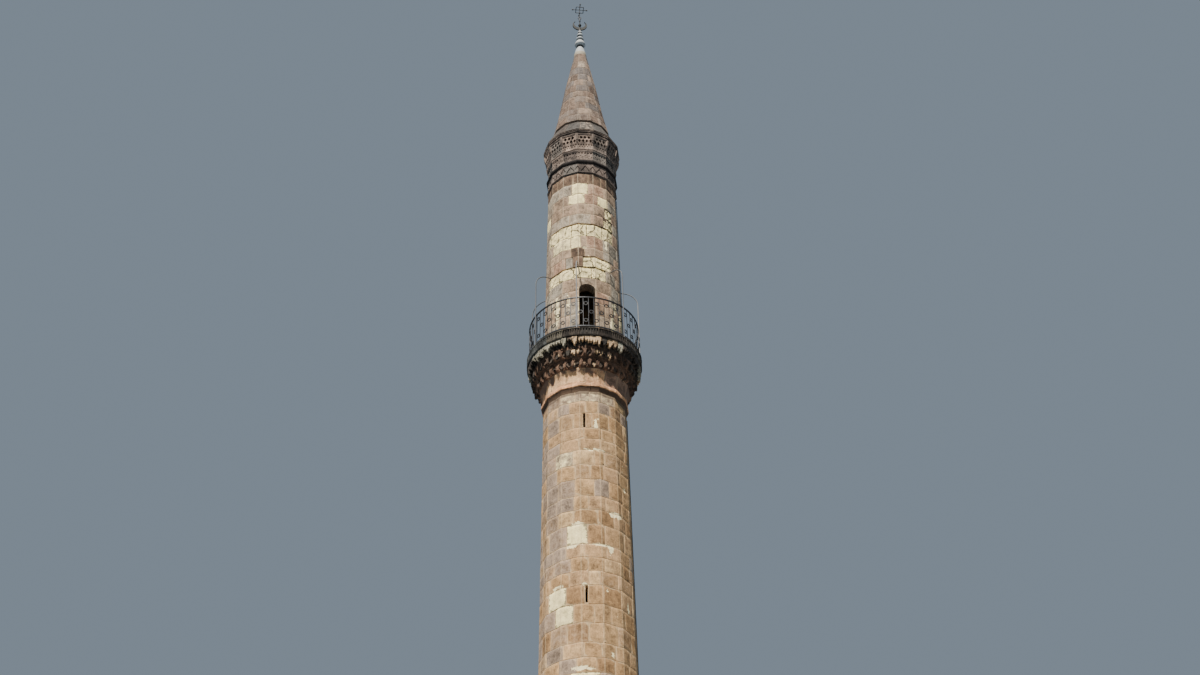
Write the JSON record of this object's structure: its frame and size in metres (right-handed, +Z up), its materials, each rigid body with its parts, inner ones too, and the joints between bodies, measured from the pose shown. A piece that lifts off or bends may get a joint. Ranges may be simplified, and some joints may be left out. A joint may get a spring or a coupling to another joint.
{
  "type": "minaret",
  "caption": "Tall stone minaret: square foot, many-sided hollow shaft, corbelled balcony with iron railing and stays, upper shaft with doorway, carved crown, pointed stone roof and crescent.",
  "frame": {"origin": "middle of the foot's underside, on the ground", "axes": "+Z up the tower; the balcony doorway and the foot doorway face -Y"},
  "size_m": [3.58, 3.58, 39.88],
  "materials": {
    "sandstone": "weathered ashlar",
    "weathered_stone": "weathered ashlar",
    "dark_stone": "soot-dark carving",
    "pale_stone": "smooth",
    "spire_stone": "weathered ashlar",
    "black_iron": "old paint",
    "pale_steel": "dull grey paint",
    "bronze": "dark patina",
    "white_lead": "chalky"
  },
  "bodies": {
    "root": {"footing_course": "sandstone", "base_wall_back": "sandstone", "base_wall_left": "sandstone", "base_wall_right": "sandstone", "base_wall_front_left": "sandstone", "base_wall_front_right": "sandstone", "base_wall_over_door": "sandstone", "base_cornice": "sandstone", "tapered_shoe": "sandstone", "base_ring": "sandstone", "lower_shaft_front": "sandstone", "lower_shaft_back": "sandstone", "upper_drum_front": "sandstone", "upper_drum_back": "sandstone", "ring_moulding": "weathered_stone", "hollow_neck": "pale_stone", "corbel_tier_low": "dark_stone", "corbel_tier_middle": "dark_stone", "corbel_tier_high": "dark_stone", "balcony_slab": "dark_stone", "door_wall_left": "weathered_stone", "door_wall_right": "weathered_stone", "door_head": "weathered_stone", "turret_front": "weathered_stone", "turret_back": "weathered_stone", "arch_frieze": "weathered_stone", "torus_ring": "weathered_stone", "carved_band": "weathered_stone", "pierced_frieze": "weathered_stone", "crown_moulding": "weathered_stone", "spire_skirt": "spire_stone", "spire": "spire_stone", "railing_1": "black_iron", "stay_1": "pale_steel", "railing_2": "black_iron", "stay_2": "pale_steel", "railing_3": "black_iron", "stay_3": "pale_steel", "railing_4": "black_iron", "stay_4": "pale_steel", "railing_5": "black_iron", "stay_5": "pale_steel", "railing_6": "black_iron", "stay_6": "pale_steel", "railing_7": "black_iron", "stay_7": "pale_steel", "finial_cap": "white_lead", "finial_bulbs": "white_lead", "crescent": "bronze", "lightning_terminal": "black_iron", "conductor_low": "black_iron", "conductor_high": "black_iron"}
  },
  "joints": []
}
